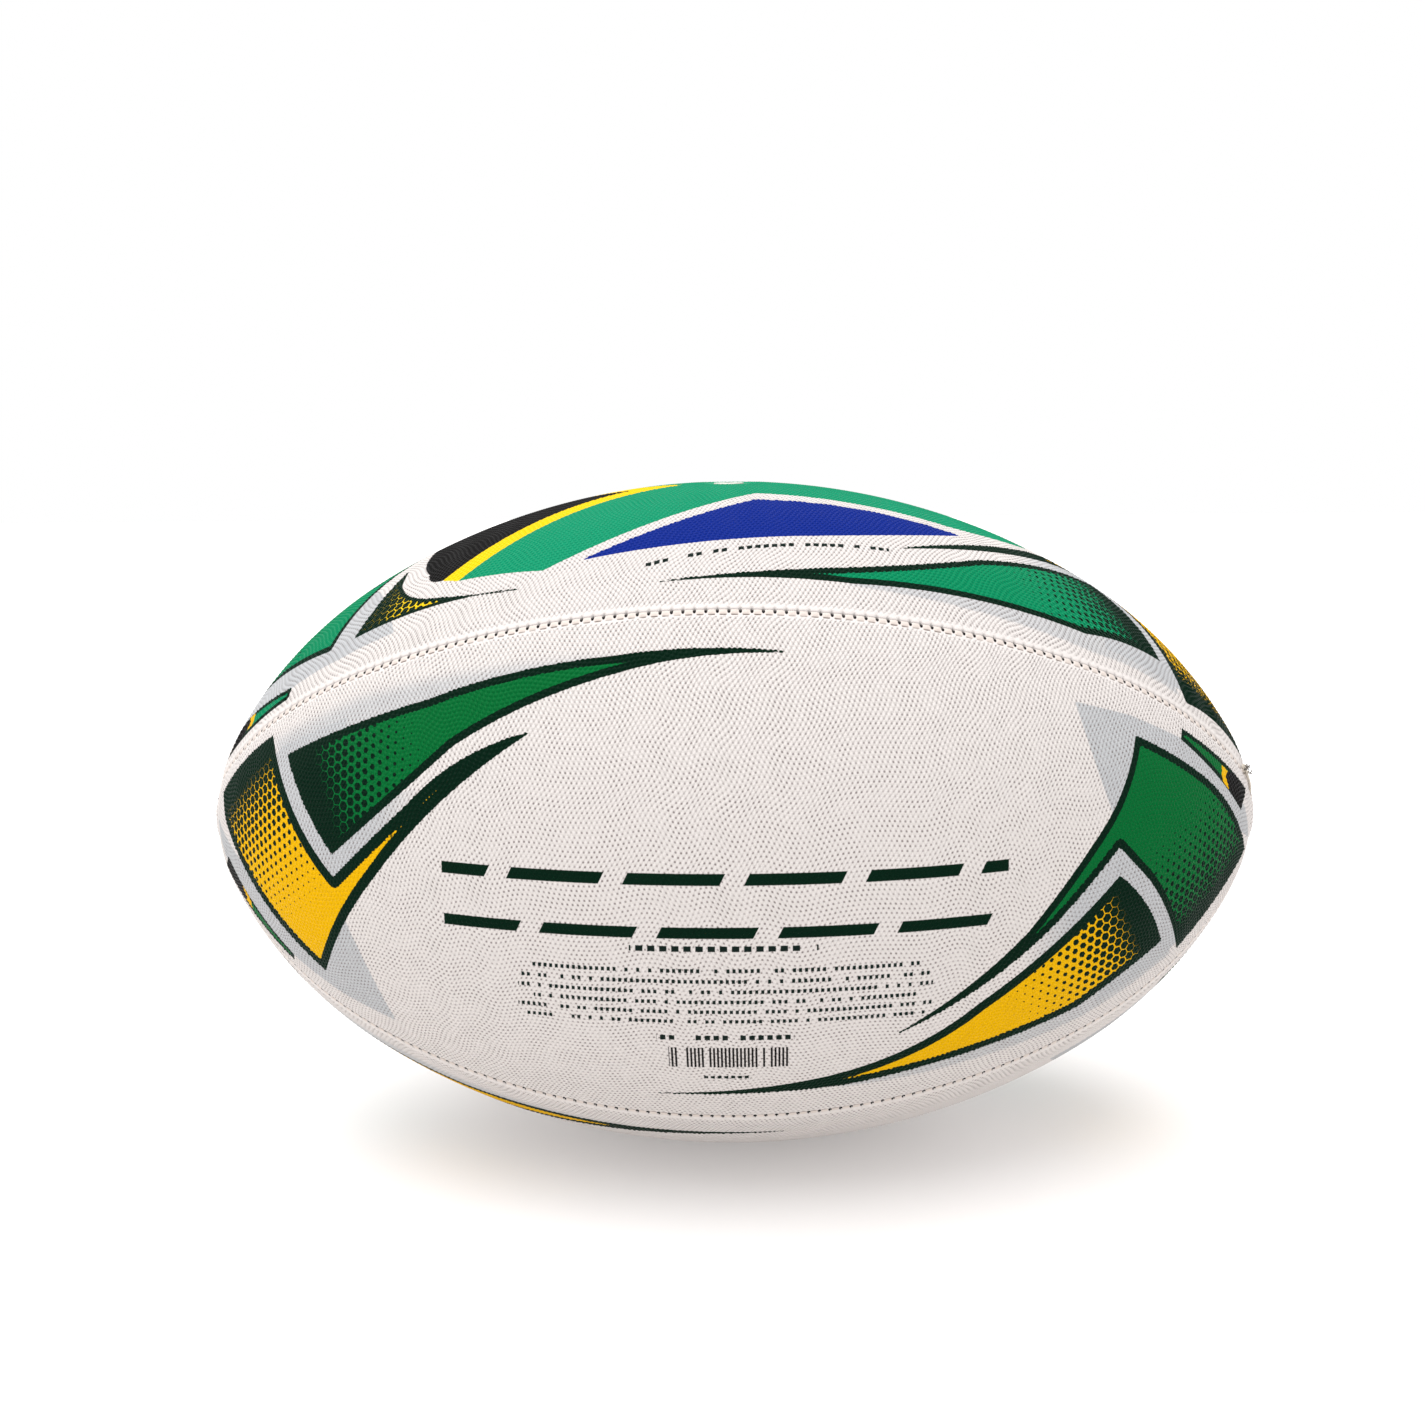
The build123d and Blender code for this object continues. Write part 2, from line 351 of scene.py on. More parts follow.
def pimple_lattice():
    """Each pimple's top, the valley beside it and the pit on its lower side, as flat places
    and their heights."""
    half = BALL_WIDTH * pi / 8
    rows = int(half / PIMPLE_ROW) + 2
    tops = []
    for row in range(-rows, rows + 1):
        start = PIMPLE_PITCH * (-int(LAST_S / PIMPLE_PITCH) - 1 + (row % 2) / 2)
        s = np.arange(start, LAST_S, PIMPLE_PITCH)
        tops.append(np.stack([s, np.full_like(s, row * PIMPLE_ROW)], axis=1))
    tops = np.concatenate(tops)
    valleys = tops + (PIMPLE_PITCH / 2, PIMPLE_ROW / 3)
    pits = tops + (PIMPLE_PITCH / 2, -PIMPLE_ROW / 3)
    spots = np.concatenate([tops, valleys, pits])
    heights = np.repeat([PIMPLE_HEIGHT, 0, -PIT_DEPTH], len(tops))
    spots[:, 0] += sway(spots[:, 1])
    spots[:, 1] += wave(spots[:, 0])
    inside = np.abs(spots[:, 0]) < LAST_S - POLE_MARGIN
    kept_clear = squeeze(spots[:, 0]) * (SEAM_COLUMNS[-1] + COLUMN_MARGIN)
    inside &= np.abs(spots[:, 1]) < seam_at(spots[:, 0]) - kept_clear
    return spots[inside], heights[inside]


def panel_mesh_points(has_valve):
    """The flat places of a panel's vertices, the height of the pimples there, the places
    along its seams, and the number of vertices in the columns beside the seams."""
    stations = seam_stations()
    groups = []
    for side in (-1, 1):
        for column in SEAM_COLUMNS:
            across = side * (seam_at(stations) - column * squeeze(stations))
            groups.append(np.stack([stations, across], axis=1))
    seam_count = sum(len(g) for g in groups)
    lattice, heights = pimple_lattice()
    if has_valve:
        away = np.hypot(lattice[:, 0], lattice[:, 1])
        keep = away > VALVE_HOLE_RADIUS + VALVE_MARGIN
        lattice, heights = lattice[keep], heights[keep]
        angles = np.linspace(0, 2 * pi, VALVE_RING_POINTS, endpoint=False)
        ring = np.stack([np.cos(angles), np.sin(angles)], axis=1)
        groups += [ring * VALVE_HOLE_RADIUS]
    extra = sum(len(g) for g in groups)
    flat = np.concatenate([*groups, lattice])
    pimples = np.concatenate([np.zeros(extra), heights])
    return flat, pimples, stations, seam_count


def relief(s, across, panel):
    """How high the surface stands without its pimples, in mm."""
    distance = seam_at(s) - np.abs(across)
    stitched = smooth(*STITCHED_RADII, radius_at(s))
    from_hole = (stitch_phase(s) % 1 - 0.5) * STITCH_PITCH
    hole = np.exp(-((from_hole / HOLE_HALF_LENGTH) ** 2)) * stitched
    at_hole = np.cos(pi * from_hole / STITCH_PITCH) ** 2
    swell = (1 - at_hole**SWELL_POWER) * stitched
    strength = 1.0 if panel in PUCKERED_PANELS else WEAKER
    bulge = np.sin(pi * np.clip(distance / PUCKER_WIDTH, 0, 1)) * swell
    crease = np.exp(-(((distance - CREASE_PLACE) / CREASE_HALF_WIDTH) ** 2)) * swell
    edge = np.clip(1 - distance / EDGE_WIDTH, 0, 1) ** 2
    pit = np.clip(1 - distance / HOLE_WIDTH, 0, 1) ** HOLE_POWER
    pull = np.exp(-((distance / PULL_WIDTH) ** 2))
    height = strength * (PUCKER_HEIGHT * bulge - CREASE_DEPTH * crease)
    height += POLE_CAP * smooth(*POLE_CAP_RADII, radius_at(s))
    if panel == "top":
        height -= VALVE_DISH * smooth(*VALVE_DISH_RADII, np.hypot(s, across))
    return height - EDGE_DROP * edge - HOLE_DEPTH * pit * hole - PULL_DEPTH * pull


def pimple_fade(s, across, panel):
    """The share of their height that pimples have: none at the seams or at the valve."""
    distance = seam_at(s) - np.abs(across)
    low, high = PUCKERED_FADE if panel in PUCKERED_PANELS else PLAIN_FADE
    fade = smooth(low, high, distance) * smooth(*POLE_FADE, radius_at(s))
    if panel == "top":
        fade *= smooth(*VALVE_FADE, np.hypot(s, across) - VALVE_HOLE_RADIUS)
    return fade


def panel_faces(flat, has_valve):
    """Triangles over the flat places, all facing the same way, none across the valve hole."""
    found = delaunay_2d_cdt([Vector(p) for p in flat], [], [], 0, SAME_PLACE)
    kept = np.array([group[0] for group in found[3]])
    faces = kept[np.array(found[2])]
    corner = flat[faces]
    first, second = corner[:, 1] - corner[:, 0], corner[:, 2] - corner[:, 0]
    area = first[:, 0] * second[:, 1] - first[:, 1] * second[:, 0]
    faces[area < 0] = faces[area < 0][:, ::-1]
    solid = np.abs(area) > SMALLEST_AREA
    if has_valve:
        middle = corner.mean(axis=1)
        solid &= np.hypot(middle[:, 0], middle[:, 1]) > VALVE_FACE_RADIUS
    return faces[solid]


def wall(rows):
    """Triangles between rows of vertex numbers, each row joined to the next."""
    faces = []
    for near, far in zip(rows, rows[1:]):
        for a, b, c, d in zip(near, near[1:], far, far[1:]):
            faces += [(a, b, d), (a, d, c)]
    return faces


def cover_piece(panel):
    """One rubber cover panel: pimples, puckers, needle holes and turned-in edges."""
    has_valve = panel == "top"
    flat, pimples, stations, seam_count = panel_mesh_points(has_valve)
    s, across = flat[:, 0], flat[:, 1]
    fade = pimple_fade(s, across, panel)
    height = relief(s, across, panel) + fade * pimples
    faces = [panel_faces(flat, has_valve)]

    count = len(stations)
    for side, first in ((-1, 0), (1, seam_count // 2)):
        rows = [list(range(first, first + count))]
        for depth in FLANGE_DEPTHS:
            rows.append(list(range(len(s), len(s) + count)))
            edge = side * seam_at(stations)
            s = np.concatenate([s, stations])
            across = np.concatenate([across, edge])
            height = np.concatenate([height, np.full(count, -depth)])
        turned = [row[::-1] for row in rows] if side < 0 else rows
        faces.append(wall(turned))
    if has_valve:
        ring = list(range(seam_count, seam_count + VALVE_RING_POINTS))
        deep = list(range(len(s), len(s) + VALVE_RING_POINTS))
        s = np.concatenate([s, s[ring]])
        across = np.concatenate([across, across[ring]])
        height = np.concatenate([height, np.full(VALVE_RING_POINTS, -COVER_THICKNESS)])
        faces.append(wall([ring[::-1] + ring[-1:], deep[::-1] + deep[-1:]]))
    faces = np.concatenate(faces)

    points = place_on_ball(s, across, height, radians(PANEL_TURNS[panel])) * MM
    mesh = bpy.data.meshes.new("cover_" + panel)
    mesh.from_pydata(points.tolist(), [], faces[:, ::-1].tolist())
    mesh.shade_smooth()
    v = -across
    distance = seam_at(s) - np.abs(across)
    towards = distance if panel in PUCKERED_PANELS else -distance
    stitched = smooth(LAST_STITCH_RADIUS - 1, LAST_STITCH_RADIUS, radius_at(s))
    add_attribute(mesh, "seam_place", np.stack([towards, stitch_phase(s), stitched], axis=1))
    add_attribute(mesh, "print_place", np.stack([s, v, 0 * s], axis=1))
    level = across - wave(s)
    add_attribute(mesh, "pimple_place", np.stack([s - sway(level), level, 0 * s], axis=1))
    add_attribute(mesh, "pimple_fade", pimple_fade(s, across, panel))
    # Painted shade: how far a vertex lies deep in the seam, where the material paints it black
    add_attribute(mesh, "sunk_shade", np.clip(-height - SUNK_DEPTH, 0, 1))
    for name, depth in print_depths(panel, s, v).items():
        add_attribute(mesh, name, depth)
    piece = add_object("printed_cover_" + panel, mesh)
    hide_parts("cover_" + panel)
    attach(piece, "root")
    return piece


def add_object(name, data):
    made = bpy.data.objects.new(name, data)
    bpy.context.scene.collection.objects.link(made)
    return made


def add_attribute(mesh, name, values):
    kind, field = ("FLOAT_VECTOR", "vector") if values.ndim == 2 else ("FLOAT", "value")
    attribute = mesh.attributes.new(name, kind, "POINT")
    attribute.data.foreach_set(field, values.astype(np.float32).ravel())


# ---------------------------------------------------------------- the print
# Outlines are loops of corners (s, v, bow) in mm. s runs along the ball from its middle,
# v runs up the front panel, and bow is how far the edge to the next corner bows to its
# left. Every panel has the same sweeps, and the top and bottom panels swap their colours.

OUTER_LEFT = [
    (-131.5, 32.5, -1), (-163.5, 11.5, -1.5), (-154.5, -0.5, -1), (-113.5, -31.5, 1.5),
    (-91.5, 0.5, 2), (-47.5, 39.5, -2.5), (-80.5, 19.5, 0), (-105, -1.5, 2.5),
]
INNER_LEFT = [
    (-123, 28, -1), (-105, 5, -0.5), (-67.5, 35.5, 2.5), (-15.5, 58.5, 1), (15, 61, -1.5),
    (-25.5, 60, -1.8), (-74.5, 47, -0.8),
]
OUTER_RIGHT = [
    (110, 33.5, 0.5), (139.5, 18, 1.5), (167.5, -6.5, -1), (131, -30, -1.5), (115, -4, 0),
    (103.5, 6.5, 0), (85, -10.5, 1.5), (43.5, -38.5, -1), (77, -12.5, 0), (98.5, 11.5, -1.5),
]
INNER_RIGHT = [
    (104, -1.5, 2), (122, -24, -0.5), (94.5, -40, 1), (30, -57.5, 0.5), (-17.5, -60, -0.9),
    (19.5, -55, -3.2), (64.5, -32, -0.5),
]
GREY_SHAPES = [
    [
        (90.7, 44.5, -0.8), (103.5, 10, 0), (150, 5, 0), (172, -4, 0), (165, 6, 0),
        (128, 31, 0), (108.5, 39.4, 0),
    ],
    [
        (103.5, 9, 0), (136, -27, -1.5), (126, -30, 0), (100.7, -40.5, 0), (104, -15, 0),
        (78, -24, 0), (74, -18.5, 0),
    ],
]
GREY_BAND = [
    (128, -31, 0), (97, -45.2, 0.6), (62, -54, 0.6), (28, -58.6, 0), (60, -47, 0), (95, -38, 0),
    (124, -24, 0),
]
STRIP = [(129, 33.5, 0.5), (166.3, 10.8, 0), (161.2, 6.4, -0.3), (128.2, 30.9, 0)]
STRIP_MARK = [
    (148.6, 20.8, 0), (152.3, 18.5, 0), (150.6, 17.2, 0), (152.4, 13.6, 0), (151.2, 12.4, 0),
    (148.2, 17.2, 0),
]
STRIP_END = [
    (152.3, 18.5, 0), (172, 12, 0), (162, 3, 0), (151.2, 12.4, 0), (152.4, 13.6, 0),
    (150.6, 17.2, 0),
]
CORNER_NET = [
    (-90.5, -16, 0.5), (-102.5, -39, 0.5), (-53, -55, 1), (-77, -44, 2.5), (-90.5, -26, 0),
]

# The emblem on the top panel: plain sweeping bands of colour, the same on both sides of
# its own middle line. The outlines run past that line, and the black covers the yellow,
# which covers the green
EMBLEM_MIDDLE = -5.0
EMBLEM_GREEN = [
    (-71, -40.5, 0), (-46.5, -50.5, -2.8), (7.5, -19.8, -0.3), (60, -19, -2), (84.5, -5, 0),
    (84.5, 5, 0), (-30, 5, 0),
]
EMBLEM_YELLOW = [(-76, -36.5, 1), (-10, 5, 0), (7, 5, -2), (-71, -40.5, 0)]
EMBLEM_BLACK = [(-84, 5, 0), (-84, -14, -1), (-81, -29, -1.5), (-76, -36.5, 1), (-10, 5, 0)]
EMBLEM_BLUE = [(-35.5, -50.5, -1.8), (7.5, -26, 0.4), (62.5, -24, 2.5), (23, -44.5, 2)]

# How far a panel's print is moved along s and v
PRINT_SHIFTS = {"front": (0, 0), "top": (2, -4), "back": (0, 0), "bottom": (0, 0)}

# Each sweep's halftone runs from no dots at the first place to the largest at the second
HALFTONE_FADES = [
    (OUTER_LEFT, (-119, -17), (-150, 26)),
    (INNER_LEFT, (-73, 37), (-117, 17.3)),
    (OUTER_RIGHT, (117, 9), (136, -28)),
    (INNER_RIGHT, (72, -37.5), (117.5, -10.5)),
]
NET_FADE = ((-70, -46), (-96, -38))
NET_LEAST = 0.5
NET_GROWTH = 0.3


def rounded_edges(corners):
    """The outline's corners with points added along each edge that bows."""
    points = []
    for (s, v, bow), (next_s, next_v, _) in zip(corners, corners[1:] + corners[:1]):
        along = np.array([next_s - s, next_v - v], float)
        left = np.array([-along[1], along[0]]) / np.linalg.norm(along)
        for t in np.linspace(0, 1, BOW_POINTS if bow else 2)[:-1]:
            points.append(np.array([s, v]) + along * t + left * 4 * bow * t * (1 - t))
    return np.array(points)


def depth_inside(corners, s, v):
    """How far inside the outline each place is, in mm, and below zero outside it."""
    outline = rounded_edges(corners)
    low, high = outline.min(axis=0) - DEPTH_LIMIT, outline.max(axis=0) + DEPTH_LIMIT
    near = (s > low[0]) & (s < high[0]) & (v > low[1]) & (v < high[1])
    places = np.stack([s[near], v[near]], axis=1)
    distance = np.full(len(places), np.inf)
    inside = np.zeros(len(places), bool)
    for start, end in zip(outline, np.roll(outline, -1, axis=0)):
        edge = end - start
        offset = places - start
        t = np.clip(offset @ edge / (edge @ edge), 0, 1)
        distance = np.minimum(distance, np.linalg.norm(offset - t[:, None] * edge, axis=1))
        crosses = (start[1] > places[:, 1]) != (end[1] > places[:, 1])
        if edge[1]:
            reach = start[0] + edge[0] * (places[:, 1] - start[1]) / edge[1]
            inside ^= crosses & (places[:, 0] < reach)
    depth = np.full(len(s), -DEPTH_LIMIT)
    depth[near] = np.maximum(np.where(inside, distance, -distance), -DEPTH_LIMIT)
    return depth


def halfway_round(corners):
    """The same outline turned by half a turn about the panel's middle."""
    return [(-s, -v, bow) for s, v, bow in corners]


def fade_between(s, v, small, large):
    """0 at the place small and beyond it, rising to 1 at the place large."""
    small, large = np.array(small, float), np.array(large, float)
    along = large - small
    travelled = (s - small[0]) * along[0] + (v - small[1]) * along[1]
    return np.clip(travelled / (along @ along), 0, 1)


def print_depths(panel, true_s, true_v):
    """The values that the cover's material reads at each place, by name: depths inside the
    colours' outlines, strengths, and the size of the halftone's dots."""
    shift_s, shift_v = PRINT_SHIFTS[panel]
    s, v = true_s - shift_s, true_v - shift_v
    none = np.full(len(s), -DEPTH_LIMIT)

    def depth(*outlines):
        return np.max([depth_inside(outline, s, v) for outline in outlines], axis=0)

    swapped = panel in ("top", "bottom")
    green, yellow = [INNER_LEFT, OUTER_RIGHT], [OUTER_LEFT, INNER_RIGHT]
    if swapped:
        green, yellow = yellow, green
    greys = GREY_SHAPES + [halfway_round(shape) for shape in GREY_SHAPES]
    depths = {"grey": depth(*greys), "green": depth(*green), "yellow": depth(*yellow)}
    depths["grey_strength"] = smooth(*GREY_FADE, np.abs(s))
    depths["strip"] = depth(STRIP, halfway_round(STRIP))
    depths["strip_mark"] = depth(STRIP_MARK, halfway_round(STRIP_MARK))
    depths["strip_end"] = depth(STRIP_END, halfway_round(STRIP_END))
    depths["net"] = depth_inside(CORNER_NET, true_s, true_v) if swapped else none
    folded = EMBLEM_MIDDLE - np.abs(true_v - EMBLEM_MIDDLE)
    emblem = {
        "emblem_green": EMBLEM_GREEN, "emblem_yellow": EMBLEM_YELLOW,
        "emblem_black": EMBLEM_BLACK, "emblem_blue": EMBLEM_BLUE,
    }
    for name, half in emblem.items():
        depths[name] = depth_inside(half, true_s, folded) if panel == "top" else none
    depths["long_words"] = np.full(len(s), float(not swapped))
    depths["short_words"] = np.full(len(s), float(panel == "top"))

    dots = np.zeros(len(s))
    for outline, small, large in HALFTONE_FADES:
        near = depth(outline) > -HALFTONE_REACH
        dots = np.where(near, fade_between(s, v, small, large), dots)
    at_net = NET_LEAST + NET_GROWTH * fade_between(true_s, true_v, *NET_FADE)
    depths["dots"] = np.where(depths["net"] > -HALFTONE_REACH, at_net, dots)
    sharp = smooth(*SHARP_SHADE, depth(GREY_BAND))
    soft = smooth(*SOFT_SHADE, depth(halfway_round(GREY_BAND)))
    depths["shade"] = np.maximum(sharp, soft)
    return depths


# ---------------------------------------------------------------- shader building


class Shader:
    """A material's node tree with short ways to add nodes."""

    def __init__(self, name):
        self.material = bpy.data.materials.new(name)
        self.material.use_nodes = True
        self.tree = self.material.node_tree
        self.principled = self.tree.nodes["Principled BSDF"]

    def node(self, kind, inputs=None, **settings):
        made = self.tree.nodes.new("ShaderNode" + kind)
        for key, value in settings.items():
            setattr(made, key, value)
        for key, value in (inputs or {}).items():
            self.set(made.inputs[key], value)
        return made

    def set(self, socket, value):
        if isinstance(value, bpy.types.NodeSocket):
            self.tree.links.new(value, socket)
        else:
            socket.default_value = value

    def math(self, operation, *values, clamp=False):
        made = self.node("Math", operation=operation, use_clamp=clamp)
        for socket, value in zip(made.inputs, values):
            self.set(socket, value)
        return made.outputs[0]

    def times(self, *values):
        """All the values multiplied together."""
        product = values[0]
        for value in values[1:]:
            product = self.math("MULTIPLY", product, value)
        return product

    def attribute(self, name, output="Fac"):
        return self.node("Attribute", attribute_name=name).outputs[output]

    def parts(self, vector):
        """A vector's x, y and z."""
        return self.node("SeparateXYZ", {0: vector}).outputs

    def mix(self, factor, a, b):
        """Colour a at 0 and colour b at 1: sockets 6, 7 and 2 are the Mix node's colours."""
        made = self.node("Mix", data_type="RGBA")
        self.set(made.inputs[0], factor)
        self.set(made.inputs[6], a)
        self.set(made.inputs[7], b)
        return made.outputs[2]

    def ramp(self, value, low, high):
        """0 at low, rising smoothly to 1 at high. Low may be the larger of the two."""
        made = self.node("MapRange", interpolation_type="SMOOTHSTEP")
        self.set(made.inputs["Value"], value)
        self.set(made.inputs["From Min"], low)
        self.set(made.inputs["From Max"], high)
        return made.outputs[0]

    def noise(self, scale, detail=3.0):
        made = self.node("TexNoise", {"Scale": scale, "Detail": detail})
        self.set(made.inputs["Vector"], self.node("TexCoord").outputs["Object"])
        return made.outputs[0]

    def bump(self, height, distance, normal=None):
        made = self.node("Bump", {"Height": height, "Distance": distance})
        if normal:
            self.set(made.inputs["Normal"], normal)
        return made.outputs[0]

    def surface(self, colour, roughness, normal):
        """Joins the three to the material's surface."""
        values = {"Base Color": colour, "Roughness": roughness, "Normal": normal}
        for name, value in values.items():
            self.set(self.principled.inputs[name], value)

    def hexagon(self, along, across, pitch, row):
        """The distance from the nearest point of a hexagonal lattice, 1 at its cell's edge."""

        def from_middle(value, step, offset):
            cells = self.math("ADD", self.math("DIVIDE", value, step), offset)
            return self.math("PINGPONG", cells, 0.5)

        found = []
        for offset in (0.0, 0.5):
            u = from_middle(along, pitch, offset)
            w = from_middle(across, 2 * row, offset)
            slant = self.math("MULTIPLY_ADD", w, 3.0, u)
            found.append(self.math("MAXIMUM", self.math("MULTIPLY", u, 2.0), slant))
        return self.math("MINIMUM", *found)


def cover_material():
    """White rubber with its pimples, print and seam marks."""
    shader = Shader("printed_cover_rubber")
    s, v = shader.parts(shader.attribute("print_place", "Vector"))[:2]
    along, across = shader.parts(shader.attribute("pimple_place", "Vector"))[:2]
    pimple = shader.hexagon(along, across, PIMPLE_PITCH, PIMPLE_ROW)
    dome = shader.ramp(pimple, *DOME)
    fade = shader.attribute("pimple_fade")

    # Ink sits a little further out on the pimples than between them
    ragged = shader.math("MULTIPLY_ADD", dome, RAGGED, -RAGGED / 2)

    def layer(colour, name, ink, border=0.0):
        depth = shader.math("SUBTRACT", shader.attribute(name), border - SPREAD)
        cover = shader.ramp(shader.math("ADD", depth, ragged), *INK_EDGE)
        return shader.mix(cover, colour, ink)

    def mark(name):
        return shader.ramp(shader.attribute(name), *MARK_EDGE)

    # White rubber with pale grey shapes, and painted shadow: a small grey spot straight below
    # each pimple
    colour = shader.mix(shader.times(shader.attribute("shade"), SHADE_STRENGTH), WHITE, PALE_GREY)
    on_grey = shader.ramp(shader.attribute("grey"), *GREY_EDGE)
    on_grey = shader.times(on_grey, shader.attribute("grey_strength"))
    colour = shader.mix(on_grey, colour, PALE_GREY)
    beside = shader.math("ADD", along, PIMPLE_PITCH / 2)
    below = shader.math("ADD", across, PIMPLE_ROW / 3)
    pimple_shadow = shader.ramp(shader.hexagon(beside, below, PIMPLE_PITCH, PIMPLE_ROW), *PIMPLE_SHADOW_EDGE)
    patches = shader.ramp(shader.noise(scale=260.0), *PIMPLE_SHADOW_PATCHES)
    pimple_shadow_strength = shader.math("MULTIPLY_ADD", patches, *PIMPLE_SHADOW_STRENGTH)
    colour = shader.mix(shader.times(pimple_shadow, fade, pimple_shadow_strength), colour, SHADOW_GREY)
    colour = words(shader, colour, s, v)
    colour = seam_marks(shader, colour)

    # Halftone: dark cells that grow until only a net is left between them
    cell = shader.hexagon(v, s, HALFTONE_PITCH, HALFTONE_ROW)
    size = shader.times(shader.attribute("dots"), LARGEST_DOT)
    dark = shader.ramp(shader.math("SUBTRACT", size, cell), *DOT_EDGE)

    colour = layer(colour, "emblem_green", EMBLEM_LEAF)
    colour = layer(colour, "emblem_yellow", LEMON)
    colour = layer(colour, "emblem_black", BLACK)
    colour = layer(colour, "emblem_blue", BLUE)
    # Painted light: the top panel's sweeps take the lighter green, as if lit from above
    green = shader.mix(shader.attribute("short_words"), GREEN, LIT_TOP_GREEN)
    for name, ink in (("green", green), ("yellow", YELLOW), ("net", LEMON)):
        colour = layer(colour, name, DARK_GREEN)
        inside = shader.mix(dark, ink, DARK_GREEN)
        colour = layer(colour, name, inside, BORDERS[name])
    colour = layer(colour, "strip", DARK_GREEN)
    colour = layer(colour, "strip", green, BORDERS["strip"])
    on_strip = shader.mix(mark("strip_mark"), colour, YELLOW)
    on_strip = shader.mix(mark("strip_end"), on_strip, BLACK)
    colour = shader.mix(mark("strip"), colour, on_strip)
    colour = needle_holes(shader, colour, v)

    roughness = shader.math("MULTIPLY_ADD", shader.noise(scale=140.0), *COVER_ROUGHNESS)
    grain = shader.bump(shader.noise(scale=2600.0, detail=2.0), GRAIN_BUMP)
    normal = shader.bump(shader.times(dome, fade), PIMPLE_BUMP, grain)
    shader.surface(colour, roughness, normal)
    shader.principled.inputs["Specular IOR Level"].default_value = COVER_GLOSS
    return shader.material


def seam_place(shader):
    """The distance from the seam, the distance from a needle hole, and whether it has holes."""
    across, phase, stitched = shader.parts(shader.attribute("seam_place", "Vector"))
    from_middle = shader.times(shader.math("PINGPONG", phase, 0.5), STITCH_PITCH)
    from_hole = shader.math("SUBTRACT", STITCH_PITCH / 2, from_middle)
    return across, from_hole, stitched


def seam_marks(shader, colour):
    """Painted shade on the puckers between the stitches, and a painted shadow in the crease below
    each.
    """
    across, from_hole, stitched = seam_place(shader)
    # Painted shade: a darker grey on the puckers between the needle holes
    band = shader.times(shader.ramp(across, *PUCKER_RISE), shader.ramp(across, *PUCKER_FALL))
    between = shader.ramp(from_hole, *PUCKER_ENDS)
    pucker_shade = shader.times(band, between, stitched, PUCKER_SHADE_STRENGTH)
    colour = shader.mix(pucker_shade, colour, PUCKER_SHADE_GREY)
    # Painted shadow along the crease below the puckers, stronger in patches
    away = shader.math("ABSOLUTE", shader.math("SUBTRACT", across, CREASE_MARK_PLACE))
    line = shader.times(shader.ramp(away, *CREASE_LINE), shader.ramp(from_hole, *CREASE_ENDS))
    patches = shader.ramp(shader.noise(scale=160.0), *CREASE_PATCHES)
    strength = shader.math("MULTIPLY_ADD", patches, *CREASE_SHADOW_STRENGTH)
    return shader.mix(shader.times(line, stitched, strength), colour, CREASE_SHADOW_GREY)


def needle_holes(shader, colour, v):
    """Painted shade: dark, narrow holes at the joint, a little wider towards the front or back
    panel, and black on the turned-in edges deep in the seam.
    """
    across, from_hole, stitched = seam_place(shader)
    half_length = shader.math("MULTIPLY_ADD", across, *HOLE_HALF_LENGTHS)
    wide = shader.math("DIVIDE", from_hole, half_length)
    at_lower_seam = shader.math("LESS_THAN", v, 0.0)
    middle = shader.math("MULTIPLY_ADD", at_lower_seam, LOWER_HOLE_SHIFT, HOLE_MARK_PLACE)
    tall = shader.math("SUBTRACT", across, middle)
    from_centre = shader.math("ADD", shader.times(wide, wide), shader.times(tall, tall))
    hole = shader.times(shader.ramp(from_centre, *HOLE_EDGE), stitched)
    colour = shader.mix(hole, colour, HOLE_SHADE_BLACK)
    # Painted shade: the turned-in edges deep in the seam are black
    return shader.mix(shader.attribute("sunk_shade"), colour, HOLE_SHADE_BLACK)


